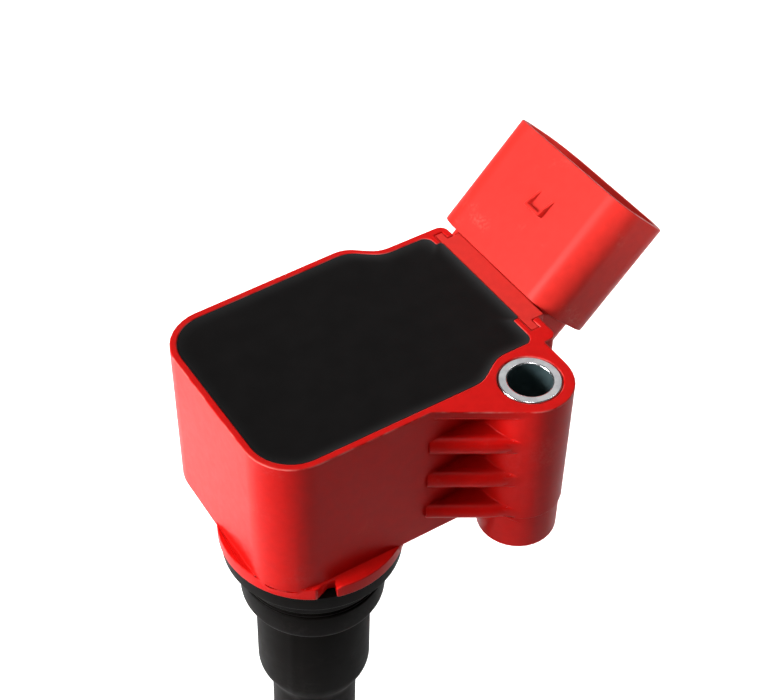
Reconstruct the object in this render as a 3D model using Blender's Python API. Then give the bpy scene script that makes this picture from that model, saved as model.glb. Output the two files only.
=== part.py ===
"""Coil-on-plug ignition coil: a potted transformer head on a rubber plug boot.

Metres, +Z up. The origin lies on the spark plug axis, in the plane that the mounting boss sits on.
+X points from the plug axis towards the connector, and the mounting ear is on the -Y side.
"""

import math

import bmesh
import bpy
from mathutils import Matrix, Vector

MM = 0.001

# Clearances between pieces
SEAT_GAP = 0.3 * MM
PRESS_GAP = 0.12 * MM
OVERLAP = 0.6 * MM
CUT_PAST = 2.0 * MM
WELD = 0.02 * MM

# Round stretches
FINE_SIDES = 60
ROUND_SIDES = 36
SMALL_SIDES = 20
ARC_STEP = math.radians(10)

# Housing plan, measured from the plug axis
BODY_LEFT = -13.75 * MM
BODY_FRONT = -12.5 * MM
BODY_BACK = 24.35 * MM
BODY_LEFT_BACK = -13.15 * MM
BODY_BACK_LEFT = 23.45 * MM
BODY_END = 37.6 * MM
NECK_FRONT = -9.4 * MM
NECK_BACK = 20.85 * MM
FRONT_STEP_FROM = 22.4 * MM
FRONT_STEP_TO = 27.2 * MM
BACK_STEP_FROM = 20.9 * MM
BACK_STEP_TO = 25.4 * MM
BODY_CORNER = 7.6 * MM
STEP_ROUND = 5.0 * MM
LIP_ROUND = 1.5 * MM

# Housing heights above the mounting plane
RIM_Z = 30.5 * MM
BODY_Z = 3.0 * MM
FLOOR = 1.4 * MM
WALL = 1.1 * MM
DRAFT = 0.35 * MM

# Mounting ear
BUSH_X = 28.5 * MM
BUSH_Y = -14.7 * MM
BUSH_OUTER_R = 4.75 * MM
BUSH_BORE_R = 3.3 * MM
BUSH_CHAMFER = 0.35 * MM
EAR_R = 6.6 * MM
EAR_ROOT_X = 12.6 * MM
EAR_Z = 7.1 * MM
BOSS_R = 6.3 * MM
BOSS_LIFT = 0.15 * MM
RIB_TOP = 2.0 * MM
RIB_PITCH = 7.3 * MM
POCKET_TALL = 4.1 * MM
POCKET_COUNT = 3
POCKET_FILLET = 2.6 * MM
RIB_ROUND = 1.0 * MM
RIB_ROUND_STEPS = 4

# Flange and high-voltage tower under the body
FLANGE_R = 14.7 * MM
FLANGE_TALL = 1.8 * MM
NOTCH_ANGLE = math.radians(249)
NOTCH_WIDE = 2.2 * MM
NOTCH_DEEP = 1.9 * MM
TOWER_R = 6.2 * MM
TOWER_BORE_R = 3.0 * MM
TOWER_END_Z = -28.0 * MM
TOWER_WEB_Z = -1.0 * MM
TERMINAL_HOLE_R = 1.7 * MM

# Channel in the housing's end that the connector slides down into
CHANNEL_X = 34.9 * MM
CHANNEL_THICK = 1.6 * MM
TAB_THICK = 1.0 * MM
CHANNEL_DEEP = 1.9 * MM
MOUTH_FRONT = -4.5 * MM
MOUTH_BACK = 18.0 * MM
TAB_FRONT = -3.1 * MM
TAB_BACK = 17.5 * MM

# Connector: a shroud on a slanted neck
SHROUD_ANGLE = math.radians(45.3)
SHROUD_X = 38.6 * MM
SHROUD_Y = 9.9 * MM
SHROUD_WIDE = 28.5 * MM
SHROUD_TALL = 15.2 * MM
SHROUD_LONG = 20.0 * MM
SHROUD_TOP_ROUND = 4.6 * MM
SHROUD_BASE_ROUND = 6.0 * MM
SHROUD_WALL = 1.4 * MM
SHROUD_BACK_WALL = 2.2 * MM
NECK_INSET = 2.3 * MM
NECK_LONG = 16.0 * MM
LATCH_FROM = 10.4 * MM
LATCH_LONG = 3.5 * MM
LATCH_WIDE = 3.7 * MM
LATCH_TALL = 1.2 * MM
LATCH_WALL = 0.5 * MM
LATCH_Y = 8.8 * MM

# Terminal blades
BLADE_COUNT = 4
BLADE_PITCH = 4.2 * MM
BLADE_WIDE = 1.8 * MM
BLADE_THICK = 0.8 * MM
BLADE_REACH = 12.5 * MM
BLADE_DROP = 9.4 * MM

# Potting resin
POTTING_DROP = 0.5 * MM

# Transformer: a core frame, a leg through its window, and two windings round the leg
FRAME_CLEAR = 1.15 * MM
FRAME_LEG = 4.2 * MM
FRAME_TALL = 9.0 * MM
FRAME_CORNER = 6.0 * MM
MAGNET_THICK = 1.5 * MM
PRIMARY_WALL = 0.8 * MM
PRIMARY_FLANGE = 0.8 * MM
PRIMARY_BUILD = 1.7 * MM
SECONDARY_WALL = 0.9 * MM
SECONDARY_RIB = 0.9 * MM
SECONDARY_SECTIONS = 6
SECONDARY_BUILD = 2.0 * MM
SECONDARY_RIB_TALL = 2.7 * MM
CROSSOVER_WIDE = 1.6 * MM
SQUARE_ROUND = 2.4 * MM

# Igniter on its heat sink
SINK_THICK = 1.2 * MM
SINK_WIDE = 20.0 * MM
SINK_TALL = 18.0 * MM
IGNITER_THICK = 4.0 * MM
IGNITER_WIDE = 15.0 * MM
IGNITER_TALL = 12.0 * MM
IGNITER_EDGE = 0.6 * MM

# High-voltage path
TERMINAL_HEAD_R = 3.0 * MM
TERMINAL_HEAD_TALL = 1.0 * MM
TERMINAL_PIN_R = 1.4 * MM
TERMINAL_FOOT_R = 2.4 * MM
TERMINAL_FOOT_TALL = 1.2 * MM
DIODE_R = 1.6 * MM
DIODE_LONG = 9.0 * MM
DIODE_X = 4.0 * MM
LEAD_R = 0.4 * MM
RESISTOR_R = 2.6 * MM
RESISTOR_CAP_R = 2.7 * MM
RESISTOR_CAP_LONG = 3.0 * MM
RESISTOR_LONG = 18.0 * MM
SPRING_R = 2.5 * MM
SPRING_WIRE_R = 0.4 * MM
SPRING_TURNS = 19
SPRING_POINTS = 9
SPRING_LONG = 62.0 * MM

# Rubber
SEAL_TOP_R = 14.2 * MM
SEAL_BAND_Z = -1.5 * MM
SEAL_WAIST_R = 12.0 * MM
SEAL_GROOVE_R = 11.1 * MM
SEAL_GROOVE_Z = -6.2 * MM
SEAL_GROOVE_TALL = 0.8 * MM
SEAL_LIP_R = 11.6 * MM
SEAL_LIP_ROUND = 1.8 * MM
SEAL_END_Z = -13.2 * MM
BULB_R = 9.3 * MM
BULB_END_Z = -30.0 * MM
BULB_TAPER = 6.5 * MM
STEM_R = 7.05 * MM
STEM_BORE_R = 3.9 * MM
BOOT_END_Z = -105.5 * MM
SOCKET_LONG = 26.0 * MM
SOCKET_R = 9.6 * MM
SOCKET_BORE_R = 5.3 * MM
SOCKET_SHOULDER = 5.0 * MM
SOCKET_LIP = 1.0 * MM

# Values that follow from the ones above
FLOOR_Z = BODY_Z + FLOOR
FLANGE_Z = BODY_Z - FLANGE_TALL
POTTING_Z = RIM_Z - POTTING_DROP
TAB_X = CHANNEL_X - TAB_THICK
FRAME_FROM = BODY_LEFT_BACK + WALL + FRAME_CLEAR
FRAME_TO = FRONT_STEP_FROM + FRAME_CLEAR
FRAME_FRONT = BODY_FRONT + WALL + FRAME_CLEAR
FRAME_BACK = BODY_BACK_LEFT - WALL - FRAME_CLEAR
FRAME_WIDE = FRAME_BACK - FRAME_FRONT
COIL_Y = (FRAME_FRONT + FRAME_BACK) / 2
COIL_Z = (FLOOR_Z + POTTING_Z) / 2
WINDOW_FROM = FRAME_FROM + FRAME_LEG
WINDOW_TO = FRAME_TO - FRAME_LEG
WINDOW_WIDE = FRAME_WIDE - 2 * FRAME_LEG
LEG_FROM = WINDOW_FROM + SEAT_GAP
LEG_TO = WINDOW_TO - 2 * SEAT_GAP - MAGNET_THICK
BOBBIN_FROM = WINDOW_FROM + SEAT_GAP
BOBBIN_TO = WINDOW_TO - SEAT_GAP
SECONDARY_OUT = min(WINDOW_WIDE - 2 * SEAT_GAP, POTTING_Z - FLOOR_Z - 2 * FRAME_CLEAR)
SECONDARY_TUBE = SECONDARY_OUT - 2 * SECONDARY_RIB_TALL
SECONDARY_WIRE_IN = SECONDARY_TUBE + 2 * SEAT_GAP
SECONDARY_WIRE_OUT = SECONDARY_WIRE_IN + 2 * SECONDARY_BUILD
SECONDARY_BORE = SECONDARY_TUBE - 2 * SECONDARY_WALL
PRIMARY_OUT = SECONDARY_BORE - 2 * SEAT_GAP
PRIMARY_WIRE_OUT = PRIMARY_OUT - 2 * SEAT_GAP
PRIMARY_WIRE_IN = PRIMARY_WIRE_OUT - 2 * PRIMARY_BUILD
PRIMARY_TUBE = PRIMARY_WIRE_IN - 2 * SEAT_GAP
PRIMARY_BORE = PRIMARY_TUBE - 2 * PRIMARY_WALL
LEG_SIZE = PRIMARY_BORE - 2 * SEAT_GAP
DIODE_Y = FRAME_FRONT + FRAME_LEG / 2
SINK_X = FRAME_TO + SEAT_GAP
IGNITER_X = SINK_X + SINK_THICK + SEAT_GAP
BLADE_INNER_X = IGNITER_X + IGNITER_THICK + SEAT_GAP
BLADE_ROW_BACK = SHROUD_Y + (BLADE_COUNT - 1) / 2 * BLADE_PITCH + BLADE_WIDE / 2
RESISTOR_TOP = TOWER_WEB_Z - TERMINAL_FOOT_TALL - 2 * SEAT_GAP
SPRING_TOP = RESISTOR_TOP - RESISTOR_LONG - SEAT_GAP
BOOT_TOP_Z = SEAL_END_Z - SEAT_GAP


# Mesh helpers


def new_object(name, mesh):
    """A linked object that holds the bmesh."""
    data = bpy.data.meshes.new(name)
    bmesh.ops.recalc_face_normals(mesh, faces=mesh.faces)
    mesh.to_mesh(data)
    mesh.free()
    made = bpy.data.objects.new(name, data)
    bpy.context.scene.collection.objects.link(made)
    return made


def rounded(corners):
    """Points of an outline whose corners (x, y, radius) are rounded by arcs."""
    points = []
    for index, (x, y, radius) in enumerate(corners):
        here = Vector((x, y))
        to_last = (Vector(corners[index - 1][:2]) - here).normalized()
        to_next = (Vector(corners[(index + 1) % len(corners)][:2]) - here).normalized()
        if radius <= 0:
            points.append(here)
            continue
        half = to_last.angle(to_next) / 2
        centre = here + (to_last + to_next).normalized() * (radius / math.sin(half))
        start = here + to_last * (radius / math.tan(half)) - centre
        end = here + to_next * (radius / math.tan(half)) - centre
        sweep = math.atan2(start.cross(end), start.dot(end))
        steps = max(2, math.ceil(abs(sweep) / ARC_STEP))
        for step in range(steps + 1):
            points.append(centre + Matrix.Rotation(sweep * step / steps, 2) @ start)
    return points


def square(size, corner, y=0.0, z=0.0):
    """A rounded square about (y, z)."""
    half = size / 2
    return rounded([(y + sy * half, z + sz * half, corner) for sy, sz in ((-1, -1), (1, -1), (1, 1), (-1, 1))])


def loft(name, sections, place=Matrix.Identity(4)):
    """A solid through outlines of equally many points, each given with its height."""
    mesh = bmesh.new()
    loops = [[mesh.verts.new(place @ Vector((p[0], p[1], height))) for p in outline] for outline, height in sections]
    for lower, upper in zip(loops, loops[1:]):
        edges = []
        for loop in (lower, upper):
            edges += [
                mesh.edges.get((a, b)) or mesh.edges.new((a, b)) for a, b in zip(loop, loop[1:] + loop[:1])
            ]
        bmesh.ops.bridge_loops(mesh, edges=edges)
    mesh.faces.new(loops[0])
    mesh.faces.new(loops[-1])
    return new_object(name, mesh)


def prism(name, outline, low, high, place=Matrix.Identity(4)):
    """An outline extruded between two heights."""
    return loft(name, [(outline, low), (outline, high)], place)


def box(name, low, high, place=Matrix.Identity(4)):
    """A box between two corners."""
    mesh = bmesh.new()
    bmesh.ops.create_cube(mesh, size=1.0)
    size = [b - a for a, b in zip(low, high)]
    middle = [(a + b) / 2 for a, b in zip(low, high)]
    bmesh.ops.transform(mesh, matrix=place @ Matrix.Translation(middle) @ Matrix.Diagonal((*size, 1)), verts=mesh.verts)
    return new_object(name, mesh)


def turned(name, profile, sides=ROUND_SIDES, x=0.0, y=0.0, place=Matrix.Identity(4)):
    """A closed profile of (radius, height) points turned about a vertical axis."""
    mesh = bmesh.new()
    verts = [mesh.verts.new((radius, 0.0, height)) for radius, height in profile]
    edges = [mesh.edges.new((a, b)) for a, b in zip(verts, verts[1:] + verts[:1])]
    bmesh.ops.spin(
        mesh, geom=verts + edges, cent=(0, 0, 0), axis=(0, 0, 1), angle=math.tau, steps=sides, use_merge=True
    )
    bmesh.ops.remove_doubles(mesh, verts=mesh.verts, dist=1e-7)
    loose = [e for e in mesh.edges if not e.link_faces]
    bmesh.ops.delete(mesh, geom=loose, context="EDGES")
    bmesh.ops.transform(mesh, matrix=place @ Matrix.Translation((x, y, 0)), verts=mesh.verts)
    return new_object(name, mesh)


def rod(name, radius, low, high, sides=ROUND_SIDES, x=0.0, y=0.0, place=Matrix.Identity(4)):
    """A plain round bar."""
    return turned(name, [(0, low), (radius, low), (radius, high), (0, high)], sides, x, y, place)


def tube(name, points, radius, resolution):
    """A round wire along a line of points."""
    curve = bpy.data.curves.new(name, "CURVE")
    curve.dimensions = "3D"
    curve.bevel_depth = radius
    curve.bevel_resolution = resolution
    curve.use_fill_caps = True
    spline = curve.splines.new("POLY")
    spline.points.add(len(points) - 1)
    for slot, point in zip(spline.points, points):
        slot.co = (*point, 1)
    made = bpy.data.objects.new(name, curve)
    bpy.context.scene.collection.objects.link(made)
    return made


def as_mesh(made):
    """A curve object turned into a mesh object of the same name."""
    bpy.context.view_layer.update()
    data = bpy.data.meshes.new_from_object(made.evaluated_get(bpy.context.evaluated_depsgraph_get()))
    name = made.name
    bpy.data.objects.remove(made)
    mesh = bmesh.new()
    mesh.from_mesh(data)
    bpy.data.meshes.remove(data)
    bmesh.ops.remove_doubles(mesh, verts=mesh.verts, dist=1e-7)
    return new_object(name, mesh)


def combine(body, others, operation):
    """Adds or cuts the other solids, which are then removed."""
    for other in others:
        step = body.modifiers.new(other.name, "BOOLEAN")
        step.operation = operation
        step.object = other
        bpy.context.view_layer.update()
        data = bpy.data.meshes.new_from_object(body.evaluated_get(bpy.context.evaluated_depsgraph_get()))
        body.modifiers.clear()
        body.data = data
        bpy.data.objects.remove(other)
    return body


def add(body, *others):
    return combine(body, others, "UNION")


def cut(body, *others):
    return combine(body, others, "DIFFERENCE")


def finish(made, look):
    """Gives a piece its material and shades its round faces smooth."""
    made.data.materials.clear()
    made.data.materials.append(look)
    made.data.shade_smooth()
    made.data.set_sharp_from_angle(angle=math.radians(32))
    return made


def look(name, colour, roughness, metallic=0.0):
    """A Principled material."""
    made = bpy.data.materials.new(name)
    made.use_nodes = True
    shader = made.node_tree.nodes["Principled BSDF"]
    shader.inputs["Base Color"].default_value = (*colour, 1)
    shader.inputs["Roughness"].default_value = roughness
    shader.inputs["Metallic"].default_value = metallic
    return made


# Places that several pieces share


def along_coil():
    """Turns heights into X and an outline's (x, y) into (Y, Z), for pieces wound round the coil's axis."""
    return Matrix(((0, 0, 1, 0), (1, 0, 0, COIL_Y), (0, 1, 0, COIL_Z), (0, 0, 0, 1)))


def along_shroud():
    """The shroud's frame: local X is its width, local Y points out of its top face and local Z out of its mouth."""
    out = Vector((math.cos(SHROUD_ANGLE), 0, math.sin(SHROUD_ANGLE)))
    up = Vector((-math.sin(SHROUD_ANGLE), 0, math.cos(SHROUD_ANGLE)))
    frame = Matrix((Vector((0, 1, 0)), up, out)).transposed().to_4x4()
    frame.translation = (SHROUD_X, SHROUD_Y, RIM_Z)
    return frame


def body_outline(inset, end):
    """The housing's plan, drawn in by the inset, with its connector end at the given X."""
    return rounded(
        [
            (BODY_LEFT + inset, BODY_FRONT + inset, BODY_CORNER - inset),
            (FRONT_STEP_FROM, BODY_FRONT + inset, STEP_ROUND),
            (FRONT_STEP_TO, NECK_FRONT + inset, STEP_ROUND),
            (end, NECK_FRONT + inset, LIP_ROUND),
            (end, NECK_BACK - inset, LIP_ROUND),
            (BACK_STEP_TO, NECK_BACK - inset, STEP_ROUND),
            (BACK_STEP_FROM, BODY_BACK - inset, STEP_ROUND),
            (BODY_LEFT_BACK + inset, BODY_BACK_LEFT - inset, BODY_CORNER - inset),
        ]
    )


def ear_lean():
    """The angle of the ear's front, which leaves the front wall and runs tangent to the boss."""
    reach = Vector((BUSH_X - EAR_ROOT_X, BUSH_Y - BODY_FRONT))
    return math.atan2(reach.y, reach.x) - math.asin(EAR_R / reach.length)


def boss_arc(start, end, inset=0.0):
    """Points round the boss between two angles."""
    steps = max(2, math.ceil(abs(end - start) / ARC_STEP))
    angles = [start + (end - start) * step / steps for step in range(steps + 1)]
    radius = EAR_R - inset
    return [(BUSH_X + radius * math.cos(a), BUSH_Y + radius * math.sin(a)) for a in angles]


def ear_outline(inset=0.0):
    """The mounting ear's plan, drawn in by the inset: from inside the front wall round the bush to the end."""
    inside = WALL / 2
    arc = boss_arc(ear_lean() - math.pi / 2, 0, inset)
    root_x = arc[0][0] + (BODY_FRONT + inside - arc[0][1]) / math.tan(ear_lean())
    return [
        (root_x, BODY_FRONT + inside),
        *arc,
        (BUSH_X + EAR_R - inset, NECK_FRONT + inside),
        (FRONT_STEP_TO, NECK_FRONT + inside),
        (FRONT_STEP_FROM, BODY_FRONT + inside),
    ]


def pocket_outline():
    """One pocket's plan: along the front wall, round a fillet and round the boss to the ear's front."""
    centre_y = BODY_FRONT - POCKET_FILLET
    drop = centre_y - BUSH_Y
    centre_x = BUSH_X - math.sqrt((EAR_R + POCKET_FILLET) ** 2 - drop**2)
    towards = math.atan2(-drop, BUSH_X - centre_x)
    steps = math.ceil((math.pi / 2 - towards) / ARC_STEP)
    angles = [math.pi / 2 + (towards - math.pi / 2) * step / steps for step in range(steps + 1)]
    fillet = [(centre_x + POCKET_FILLET * math.cos(a), centre_y + POCKET_FILLET * math.sin(a)) for a in angles]
    tangent = ear_lean() + 1.5 * math.pi
    arc = boss_arc(towards + math.pi, tangent)
    past = (arc[-1][0] + EAR_R * math.cos(tangent), arc[-1][1] + EAR_R * math.sin(tangent))
    inside = BODY_FRONT + WALL / 2
    return [(BODY_LEFT, past[1]), (BODY_LEFT, inside), (centre_x, inside), *fillet, *arc[1:], past]


def shroud_outline(inset):
    """The shroud's section: a flat top with round corners and a rounder base."""
    half = SHROUD_WIDE / 2 - inset
    low = inset - SHROUD_TALL
    top, base = SHROUD_TOP_ROUND - inset, SHROUD_BASE_ROUND - inset
    return rounded([(-half, low, base), (half, low, base), (half, -inset, top), (-half, -inset, top)])


def blade_path(index):
    """One terminal's bent line, from the igniter through the neck into the shroud."""
    frame = along_shroud()
    side = (index - (BLADE_COUNT - 1) / 2) * BLADE_PITCH
    tip = frame @ Vector((side, -BLADE_DROP, BLADE_REACH))
    out = frame.to_3x3() @ Vector((0, 0, 1))
    bend = tip + out * ((CHANNEL_X + CHANNEL_THICK - tip.x) / out.x)
    return [Vector((BLADE_INNER_X, bend.y, bend.z)), bend, tip]


def strip(name, path, wide, thick):
    """A flat strip, square to Y, along a bent line in an XZ plane."""
    mesh = bmesh.new()
    middle = [(b - a).normalized() for a, b in zip(path, path[1:])]
    loops = []
    for index, point in enumerate(path):
        before = middle[max(index - 1, 0)]
        after = middle[min(index, len(middle) - 1)]
        along = (before + after).normalized()
        normal = Vector((-along.z, 0, along.x)) / max(before.dot(along), 0.1)
        corners = [(-1, -1), (1, -1), (1, 1), (-1, 1)]
        loops.append(
            [mesh.verts.new(point + Vector((0, a * wide / 2, 0)) + normal * (b * thick / 2)) for a, b in corners]
        )
    for lower, upper in zip(loops, loops[1:]):
        for side in range(4):
            mesh.faces.new((lower[side], lower[(side + 1) % 4], upper[(side + 1) % 4], upper[side]))
    mesh.faces.new(loops[0])
    mesh.faces.new(loops[-1])
    return new_object(name, mesh)


# Housing and what closes it


def housing():
    """The red moulding: a potting cup with ear, ribs, flange and tower."""
    body = loft("coil_housing", [(body_outline(DRAFT, BODY_END), BODY_Z), (body_outline(0, BODY_END), RIM_Z)])
    flange = rod("flange", FLANGE_R, FLANGE_Z, BODY_Z + OVERLAP, FINE_SIDES)
    notch_at = Matrix.Rotation(NOTCH_ANGLE, 4, "Z")
    notch = prism(
        "notch",
        [
            (FLANGE_R - NOTCH_DEEP, 0),
            (FLANGE_R + CUT_PAST, -NOTCH_WIDE - CUT_PAST),
            (FLANGE_R + CUT_PAST, NOTCH_WIDE / 2),
            (FLANGE_R - NOTCH_DEEP, NOTCH_WIDE / 2),
        ],
        FLANGE_Z - CUT_PAST,
        BODY_Z - PRESS_GAP,
        notch_at,
    )
    cut(flange, notch)
    tower = rod("tower", TOWER_R, TOWER_END_Z, BODY_Z + OVERLAP)
    boss = rod("boss", BOSS_R, BOSS_LIFT, EAR_Z + OVERLAP, ROUND_SIDES, BUSH_X, BUSH_Y)
    add(body, ear(), boss, flange, tower)
    cavity = prism("cavity", body_outline(WALL, TAB_X), FLOOR_Z, RIM_Z + CUT_PAST)
    bush_hole = rod(
        "bush_hole", BUSH_OUTER_R + PRESS_GAP, -CUT_PAST, RIM_Z + CUT_PAST, ROUND_SIDES, BUSH_X, BUSH_Y
    )
    bore = rod("tower_bore", TOWER_BORE_R, TOWER_END_Z - CUT_PAST, TOWER_WEB_Z, SMALL_SIDES)
    hole = rod("terminal_hole", TERMINAL_HOLE_R, TOWER_WEB_Z - OVERLAP, FLOOR_Z + OVERLAP, SMALL_SIDES)
    cut(body, cavity, bush_hole, bore, hole, *connector_slot())
    return body


def ear():
    """The mounting ear: a boss with a web to the wall, and level ribs with rounded front edges."""
    made = prism("ear", ear_outline(), EAR_Z, RIM_Z)
    cut(made, prism("pocket", pocket_outline(), EAR_Z - CUT_PAST, RIM_Z + CUT_PAST))
    add(made, rib("rib_top", RIM_Z - RIB_TOP, RIM_Z, False))
    for index in range(POCKET_COUNT):
        high = RIM_Z - RIB_TOP - index * RIB_PITCH - POCKET_TALL
        low = max(EAR_Z, high + POCKET_TALL - RIB_PITCH)
        add(made, rib(f"rib_{index}", low, high, True))
    return made


def rib(name, low, high, round_top):
    """One level plate of the ear, whose edges are rounded below and, if asked, above."""
    radius = min(RIB_ROUND, 0.45 * (high - low))
    sections = []
    for step in range(RIB_ROUND_STEPS + 1):
        turn = math.pi / 2 * step / RIB_ROUND_STEPS
        sections.append((ear_outline(WELD + radius * (1 - math.sin(turn))), low + radius * (1 - math.cos(turn))))
    if not round_top:
        return loft(name, [*sections, (ear_outline(WELD), high)])
    return loft(name, sections + [(outline, low + high - height) for outline, height in reversed(sections)])


def connector_slot():
    """The opening between the lips, the channel behind them and the gap between the inner tabs."""
    top = RIM_Z + CUT_PAST
    yield box(
        "channel",
        (CHANNEL_X, MOUTH_FRONT - CHANNEL_DEEP, FLOOR_Z),
        (CHANNEL_X + CHANNEL_THICK, MOUTH_BACK + CHANNEL_DEEP - SEAT_GAP, top),
    )
    yield box(
        "mouth",
        (CHANNEL_X + CHANNEL_THICK - OVERLAP, MOUTH_FRONT, FLOOR_Z),
        (BODY_END + CUT_PAST, MOUTH_BACK, top),
    )
    yield box("tab_gap", (TAB_X - CUT_PAST, TAB_FRONT, FLOOR_Z), (CHANNEL_X + OVERLAP, TAB_BACK, top))


def mount_bush():
    """The compression limiter in the ear, which the bolt passes through."""
    c = BUSH_CHAMFER
    inner, outer = BUSH_BORE_R, BUSH_OUTER_R
    profile = [
        (inner + c, 0),
        (outer - c / 2, 0),
        (outer, c / 2),
        (outer, RIM_Z - c / 2),
        (outer - c / 2, RIM_Z),
        (inner + c, RIM_Z),
        (inner, RIM_Z - c),
        (inner, c),
    ]
    return turned("mount_bush", profile, ROUND_SIDES, BUSH_X, BUSH_Y)


def connector():
    """The second red moulding: a plate in the housing's channel, a slanted neck and the shroud."""
    frame = along_shroud()
    gap = PRESS_GAP
    plate = box(
        "connector_housing",
        (CHANNEL_X + gap, MOUTH_FRONT - CHANNEL_DEEP + gap, FLOOR_Z + SEAT_GAP),
        (CHANNEL_X + CHANNEL_THICK - gap, MOUTH_BACK + CHANNEL_DEEP - SEAT_GAP - gap, RIM_Z - gap),
    )
    rail = box(
        "rail",
        (CHANNEL_X + CHANNEL_THICK / 2, MOUTH_FRONT + gap, FLOOR_Z + SEAT_GAP),
        (SHROUD_X + gap, MOUTH_BACK - gap, RIM_Z - gap),
    )
    neck = prism("neck", shroud_outline(NECK_INSET), -NECK_LONG, SHROUD_BACK_WALL, frame)
    behind = box(
        "behind",
        (CHANNEL_X - NECK_LONG, -SHROUD_WIDE, -SHROUD_WIDE),
        (CHANNEL_X + CHANNEL_THICK / 2, SHROUD_WIDE * 2, RIM_Z * 2),
    )
    above = box(
        "above",
        (CHANNEL_X - NECK_LONG, -SHROUD_WIDE, RIM_Z - gap),
        (SHROUD_X + gap, SHROUD_WIDE * 2, RIM_Z * 2),
    )
    cut(neck, behind, above, *lip_reliefs())
    shroud = prism("shroud", shroud_outline(0), 0, SHROUD_LONG, frame)
    add(plate, rail, neck, shroud, *latch(frame))
    chamber = prism("chamber", shroud_outline(SHROUD_WALL), SHROUD_BACK_WALL, SHROUD_LONG + CUT_PAST, frame)
    cut(plate, chamber)
    for index in range(BLADE_COUNT):
        path = blade_path(index)
        path[0].x = CHANNEL_X - CUT_PAST
        slot = strip(f"slot_{index}", path, BLADE_WIDE + 2 * gap, BLADE_THICK + 2 * gap)
        cut(plate, slot)
    return plate


def lip_reliefs():
    """Clears the neck away from the housing's two lips."""
    end = BODY_END + SEAT_GAP
    front, back = MOUTH_FRONT + PRESS_GAP, MOUTH_BACK - PRESS_GAP
    yield box("front_relief", (0, front - SHROUD_WIDE, 0), (end, front, RIM_Z + CUT_PAST))
    yield box("back_relief", (0, back, 0), (end, back + SHROUD_WIDE, RIM_Z + CUT_PAST))


def latch(frame):
    """The hollow wedge on the shroud's top that the harness plug snaps behind."""
    middle = LATCH_Y - SHROUD_Y
    half = LATCH_WIDE / 2
    side = Matrix(((0, 0, 1, 0), (0, 1, 0, 0), (1, 0, 0, 0), (0, 0, 0, 1)))
    outline = [(LATCH_FROM, -OVERLAP), (LATCH_FROM + LATCH_LONG, -OVERLAP), (LATCH_FROM + LATCH_LONG, 0), (LATCH_FROM, LATCH_TALL)]
    wedge = prism("wedge", outline, middle - half, middle + half, frame @ side)
    hollow = box(
        "hollow",
        (middle - half + LATCH_WALL, 0, LATCH_FROM + LATCH_WALL),
        (middle + half - LATCH_WALL, LATCH_TALL * 2, LATCH_FROM + LATCH_LONG + CUT_PAST),
        frame,
    )
    yield cut(wedge, hollow)


def potting():
    """The resin that fills the cup, with a pocket below it where the transformer and igniter lie."""
    fill = prism("potting_fill", body_outline(WALL + PRESS_GAP, TAB_X - PRESS_GAP), FLOOR_Z + SEAT_GAP, POTTING_Z)
    low = FLOOR_Z - CUT_PAST
    gap = SEAT_GAP
    core = prism("core_room", frame_outline(-gap), low, COIL_Z + FRAME_TALL / 2 + gap)
    half = SECONDARY_OUT / 2 + gap
    coil = box(
        "coil_room",
        (BOBBIN_FROM - gap, COIL_Y - half, low),
        (BOBBIN_TO + gap, COIL_Y + half, COIL_Z + half),
    )
    end = box(
        "igniter_room",
        (FRAME_TO - OVERLAP, COIL_Y - SINK_WIDE / 2 - gap, low),
        (TAB_X + CUT_PAST, max(COIL_Y + SINK_WIDE / 2, BLADE_ROW_BACK) + gap, FLOOR_Z + SINK_TALL + 2 * gap),
    )
    return cut(fill, core, coil, end)


# Transformer


def frame_outline(inset):
    """The core frame's plan."""
    half = FRAME_WIDE / 2 - inset
    corner = FRAME_CORNER - inset
    low, high = FRAME_FROM + inset, FRAME_TO - inset
    return rounded(
        [
            (low, COIL_Y - half, corner),
            (high, COIL_Y - half, FRAME_LEG / 2),
            (high, COIL_Y + half, FRAME_LEG / 2),
            (low, COIL_Y + half, corner),
        ]
    )


def core_frame():
    """The laminated ring of the magnetic circuit."""
    low, high = COIL_Z - FRAME_TALL / 2, COIL_Z + FRAME_TALL / 2
    ring = prism("core_frame", frame_outline(0), low, high)
    half = FRAME_WIDE / 2 - FRAME_LEG
    window = box(
        "window", (WINDOW_FROM, COIL_Y - half, low - CUT_PAST), (WINDOW_TO, COIL_Y + half, high + CUT_PAST)
    )
    return cut(ring, window)


def core_leg():
    """The laminated bar through the windings."""
    return prism("core_leg", square(LEG_SIZE, 0), LEG_FROM, LEG_TO, along_coil())


def core_magnet():
    """The bias magnet between the bar and the ring."""
    return prism("core_magnet", square(LEG_SIZE, 0), LEG_TO + SEAT_GAP, WINDOW_TO - SEAT_GAP, along_coil())


def primary_bobbin():
    """A square tube with a flange at each end."""
    spool = prism("primary_bobbin", square(PRIMARY_TUBE, SQUARE_ROUND / 2), BOBBIN_FROM, BOBBIN_TO, along_coil())
    for end in (BOBBIN_FROM, BOBBIN_TO - PRIMARY_FLANGE):
        add(spool, prism("flange", square(PRIMARY_OUT, SQUARE_ROUND), end, end + PRIMARY_FLANGE, along_coil()))
    bore = square(PRIMARY_BORE, 0)
    return cut(spool, prism("bore", bore, BOBBIN_FROM - CUT_PAST, BOBBIN_TO + CUT_PAST, along_coil()))


def primary_winding():
    """The few hundred turns of thick wire, as one wound block."""
    low, high = BOBBIN_FROM + PRIMARY_FLANGE + SEAT_GAP, BOBBIN_TO - PRIMARY_FLANGE - SEAT_GAP
    block = prism("primary_winding", square(PRIMARY_WIRE_OUT, SQUARE_ROUND), low, high, along_coil())
    inner = square(PRIMARY_WIRE_IN, SQUARE_ROUND / 2)
    return cut(block, prism("inner", inner, low - CUT_PAST, high + CUT_PAST, along_coil()))


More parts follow.
